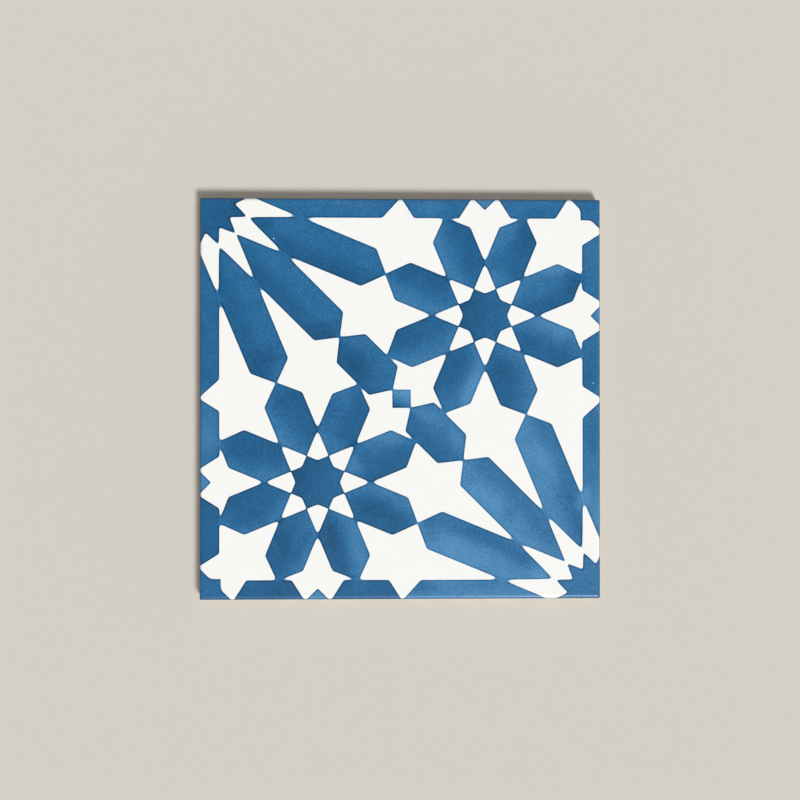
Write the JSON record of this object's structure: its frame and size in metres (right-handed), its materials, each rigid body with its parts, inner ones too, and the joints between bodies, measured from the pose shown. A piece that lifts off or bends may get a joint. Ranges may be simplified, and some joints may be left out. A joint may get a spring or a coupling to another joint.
{
  "type": "patterned porcelain tile",
  "caption": "Square glazed porcelain tile with a two-colour star and petal print on its face, a rounded upper edge and a keyed back to bed in adhesive on a floor or wall.",
  "frame": {"origin": "centre of the square on the back, on the plane of the ribs that the tile beds on", "axes": "+Z out of the glazed face, +X and +Y along the sides, to the right and to the top of the picture"},
  "size_m": [0.2, 0.2, 0.0085],
  "materials": {
    "glazed_porcelain": "satin glaze, blue print on white"
  },
  "bodies": {
    "root": {"porcelain_tile": "glazed_porcelain"}
  },
  "joints": []
}
